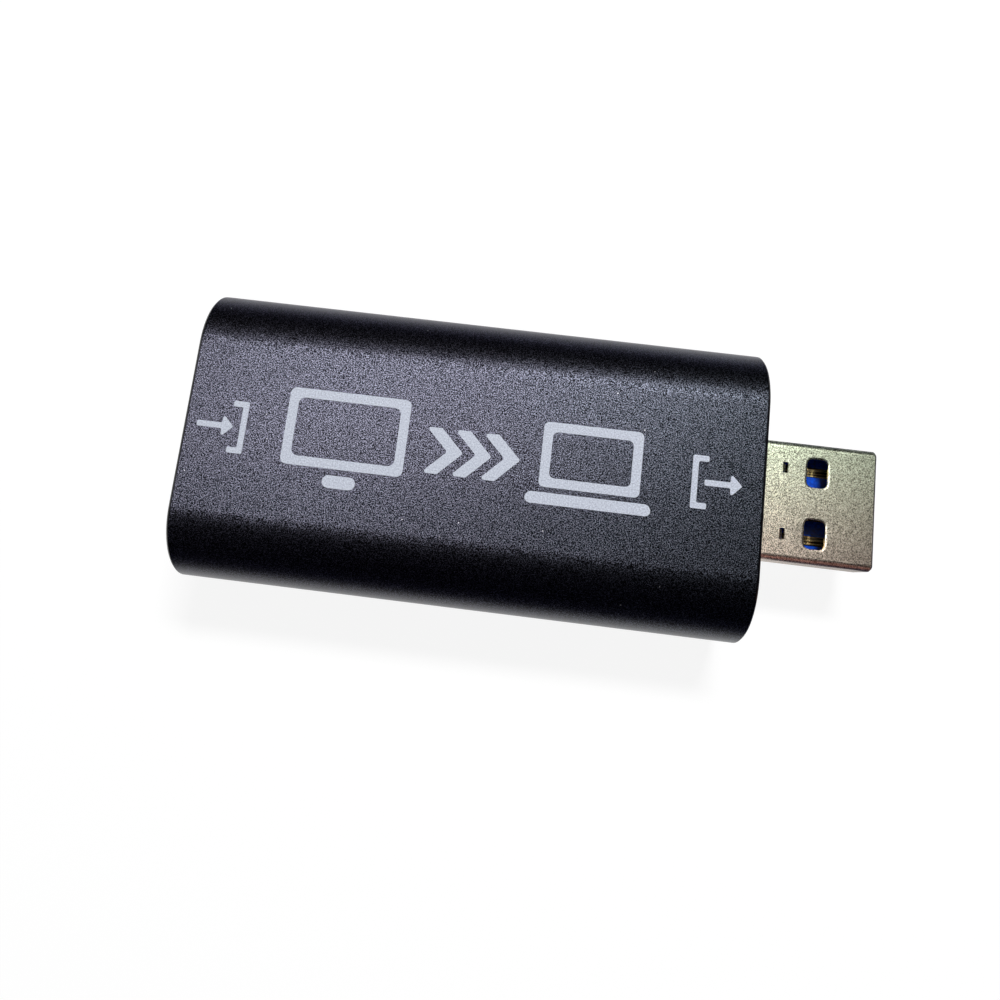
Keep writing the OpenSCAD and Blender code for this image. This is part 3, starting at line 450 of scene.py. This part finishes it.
# The two end marks, of a bracket and an arrow each.
MARK_STROKE = 0.55
MARK_REACH = 2.5
MARK_LIP = 1.5
MARK_BARB = 1.1
MARK_CORNER = 0.15
INPUT_BACK = -21.5
INPUT_TAIL = -26.2
INPUT_TIP = -22.7
OUTPUT_BACK = 20.6
OUTPUT_TAIL = 21.8
OUTPUT_TIP = 25.3
print_sign("print_input_mark", [
    bracket(INPUT_BACK, -MARK_LIP, MARK_REACH, MARK_STROKE),
    arrow(INPUT_TAIL, INPUT_TIP, MARK_BARB, MARK_STROKE),
], corner_mm=MARK_CORNER)
print_sign("print_output_mark", [
    bracket(OUTPUT_BACK, MARK_LIP, MARK_REACH, MARK_STROKE),
    arrow(OUTPUT_TAIL, OUTPUT_TIP, MARK_BARB, MARK_STROKE),
], corner_mm=MARK_CORNER)
# The screen and the computer, each a frame on a foot.
SIGN_STROKE = 0.9
SCREEN = {"x": -12, "y": 0.8, "w": 11.6, "h": 7.4}
SCREEN_FOOT = {"x": -12, "y": -3.5, "top_w": 2.4, "base_w": 5.2, "h": 1.2}
COMPUTER = {"x": 11.2, "y": 0.9, "w": 9.4, "h": 6.2}
COMPUTER_FOOT = {"x": 11.2, "y": -2.7, "top_w": 11, "base_w": 12.8, "h": 1.1}
screen = framed(**SCREEN, stroke=SIGN_STROKE) + [foot(**SCREEN_FOOT)]
print_sign("print_screen_sign", screen, corner_mm=0.6)
# The row of chevrons between them.
ROW_STROKE = 1.5
ROW_START = -4.5
ROW_REACH = 2.2
ROW_PITCH = 2.7
ROW_COUNT = 3
first = chevron(ROW_START, 0, ROW_REACH, ROW_STROKE)
print_sign("print_arrow_row", [first], corner_mm=0.2, copies=ROW_COUNT, pitch_mm=ROW_PITCH)
computer = framed(**COMPUTER, stroke=SIGN_STROKE) + [foot(**COMPUTER_FOOT)]
print_sign("print_computer_sign", computer, corner_mm=0.5)

# Stage: a white paper floor, a black felt arch that darkens the sleeve's round sides, and cards beside
# the object. The arch and the cards show only in gloss, and those that overlap lie one above the other.
FLOOR_HALF = 3
FLOOR_DROP = 0.05 * MM
FLOOR_GLOW = 0.9
FLOOR_NEAR = 0.15
FLOOR_FAR = 0.9
FLOOR_PAPER = "#6a6a6a"
WHITE = "#ffffff"
mesh = bpy.data.meshes.new("paper_floor")
build = bmesh.new()
bmesh.ops.create_grid(build, size=FLOOR_HALF)
build.to_mesh(mesh)
build.free()
floor = bpy.data.objects.new("paper_floor", mesh)
floor.location.z = -FLOOR_DROP
bpy.context.scene.collection.objects.link(floor)


def seen_directly(tree):
    """1 for rays from the camera, from a gloss or through glass, and 0 for the others."""
    path = tree.nodes.new("ShaderNodeLightPath").outputs
    looks = {0: path["Is Camera Ray"], 1: path["Is Glossy Ray"]}
    seen = add(tree, "ShaderNodeMath", looks, operation="MAXIMUM")
    return add(tree, "ShaderNodeMath", {0: seen, 1: path["Is Transmission Ray"]}, operation="MAXIMUM")


# The paper glows where it is seen, and more where the lamp fades, so that it is white all over
# and still takes a shadow.
paper, tree, shader, place = new_finish("white_sweep_paper", {"Roughness": 0.9, "Specular IOR Level": 0.1})
feed(shader, {"Base Color": linear(FLOOR_PAPER), "Emission Color": linear(WHITE)})
distance = add(tree, "ShaderNodeVectorMath", {0: place}, out="Value", operation="LENGTH")
fade = {"Value": distance, "From Min": FLOOR_NEAR, "From Max": FLOOR_FAR, "To Min": FLOOR_GLOW}
glow = {0: seen_directly(tree), 1: add(tree, "ShaderNodeMapRange", fade)}
feed(shader, {"Emission Strength": add(tree, "ShaderNodeMath", glow, operation="MULTIPLY")})
mesh.materials.append(paper)


def gloss_card(name, profile, start_x, end_x, material):
    """A stage card along X with this profile in Y and Z, which shows only in reflections."""
    mesh = bpy.data.meshes.new(name)
    build = bmesh.new()
    ribs = [[build.verts.new((x, y, z)) for x in (start_x, end_x)] for y, z in profile]
    for (a, b), (c, d) in zip(ribs, ribs[1:]):
        build.faces.new((a, c, d, b))
    build.to_mesh(mesh)
    build.free()
    mesh.materials.append(material)
    card = bpy.data.objects.new(name, mesh)
    bpy.context.scene.collection.objects.link(card)
    card.visible_camera = False
    card.visible_diffuse = False
    card.visible_shadow = False
    card.visible_transmission = False


ARCH_RADIUS = 0.6
ARCH_START = -0.6
ARCH_END = 3
ARCH_PANELS = 48
STRIP_EDGE = 0.030
STRIP_LIFT = 0.0003
felt = new_finish("black_felt", {"Base Color": linear("#34345a"), "Roughness": 1})[0]
turns = [math.pi * panel / ARCH_PANELS for panel in range(ARCH_PANELS + 1)]
arch = [(ARCH_RADIUS * math.cos(turn), STRIP_LIFT + ARCH_RADIUS * math.sin(turn)) for turn in turns]
arch = [(STRIP_EDGE, STRIP_LIFT)] + arch + [(-STRIP_EDGE, STRIP_LIFT)]
gloss_card("felt_arch", arch, ARCH_START, ARCH_END, felt)
# Felt lies before the plug's tip and along both its sides too, and darkens its rolled edges.
APRON_EDGE = -0.011
APRON_START = 0.0338
RUNNER_START = 0.0425
FAR_APRON = (0.0075, 0.034)
FAR_APRON_LIFT = 3 * STRIP_LIFT
runner = [(STRIP_EDGE, STRIP_LIFT), (APRON_EDGE, STRIP_LIFT)]
gloss_card("felt_runner", runner, RUNNER_START, ARCH_END, felt)
apron = [(APRON_EDGE, STRIP_LIFT), (-STRIP_EDGE, STRIP_LIFT)]
gloss_card("felt_apron", apron, APRON_START, ARCH_END, felt)
far_apron = [(y, FAR_APRON_LIFT) for y in FAR_APRON]
gloss_card("felt_far_apron", far_apron, APRON_START, RUNNER_START, felt)
# A warm card hangs beside the plug, lower than the sleeve's top, and gives the plug's near edge a
# brown sheen.
CARD_SIDE = -0.0105
CARD_HEIGHTS = (0.0082, 0.0128)
CARD_START = 0.029
CARD_END = 0.047
warm = new_finish("brown_card", {"Base Color": linear("#ecb2ad"), "Roughness": 1})[0]
gloss_card("warm_card", [(CARD_SIDE, z) for z in CARD_HEIGHTS], CARD_START, CARD_END, warm)
# Grey paper behind the sleeve, darker further out, lets its far edge fade softly into the black.
FADE_START = 0.018
FADE_END = 0.07
GREY_HALF = 0.1
GREY_LIFT = 2 * STRIP_LIFT
fading, tree, shader, place = new_finish("grey_paper", {"Roughness": 1})
across = add(tree, "ShaderNodeSeparateXYZ", {"Vector": place}, out="Y")
fade = add(tree, "ShaderNodeMapRange", {"Value": across, "From Min": FADE_START, "From Max": FADE_END})
greys = {"Factor": fade, "A": linear("#f6f6f8"), "B": linear("#9090c0")}
feed(shader, {"Base Color": add(tree, "ShaderNodeMix", greys, data_type="RGBA")})
grey_strip = [(y, GREY_LIFT) for y in (FADE_END, FADE_START)]
gloss_card("grey_strip", grey_strip, -GREY_HALF, GREY_HALF, fading)

# Studio light: the room's own grey light, and two rectangular lamps that are aimed at the object. The
# soft box overhead shows only in gloss, and the key lamp further back lights only dull surfaces.
ROOM_LIGHT = "#3c3c3c"
world = bpy.data.worlds.new("studio")
bpy.context.scene.world = world
world.use_nodes = True
tree = world.node_tree
room = {"Factor": seen_directly(tree), "A": linear(ROOM_LIGHT), "B": linear(WHITE)}
feed(tree.nodes["Background"], {"Color": add(tree, "ShaderNodeMix", room, data_type="RGBA"), "Strength": 1})


def area_lamp(name, place, length, width, watts, roll_degrees=0):
    """A rectangular lamp aimed at the object, turned about its aim."""
    lamp = bpy.data.lights.new(name, "AREA")
    lamp.shape = "RECTANGLE"
    lamp.size = length
    lamp.size_y = width
    lamp.energy = watts
    holder = bpy.data.objects.new(name, lamp)
    holder.location = place
    aim = (-holder.location).to_track_quat("-Z", "Y")
    roll = Euler((0, 0, math.radians(roll_degrees))).to_quaternion()
    holder.rotation_euler = (aim @ roll).to_euler()
    bpy.context.scene.collection.objects.link(holder)
    return holder


soft_box = area_lamp(
    "soft_box", place=(-0.03, 0.15, 0.45), length=0.46, width=0.135, watts=2.4, roll_degrees=10,
)
soft_box.visible_diffuse = False
key_lamp = area_lamp("key_lamp", place=(0.06, 0.25, 0.39), length=0.14, width=0.06, watts=1.95)
key_lamp.visible_glossy = False

# Camera: held almost straight above the sleeve and turned a little, as in the photograph.
# Its lens and place are fitted to the outlines of the sleeve and the plug there.
IMAGE_SIDE = 1000
FOCAL_PIXELS = 785
AXIS_PIXEL = (487, 447)
SENSOR_WIDTH = 36  # in millimetres, as cameras have it
CAMERA_PLACE = Vector((3.693, -11.454, 85.538)) * MM
CAMERA_TURN = Euler([math.radians(angle) for angle in (9.820, 0.651, 6.937)])
lens = bpy.data.cameras.new("camera")
lens.sensor_width = SENSOR_WIDTH
lens.lens = SENSOR_WIDTH * FOCAL_PIXELS / IMAGE_SIDE
lens.shift_x = 0.5 - AXIS_PIXEL[0] / IMAGE_SIDE
lens.shift_y = AXIS_PIXEL[1] / IMAGE_SIDE - 0.5
lens.clip_start = MM
camera = bpy.data.objects.new("camera", lens)
camera.location = CAMERA_PLACE
camera.rotation_euler = CAMERA_TURN
bpy.context.scene.collection.objects.link(camera)
bpy.context.scene.camera = camera
bpy.context.scene.view_settings.view_transform = "Standard"
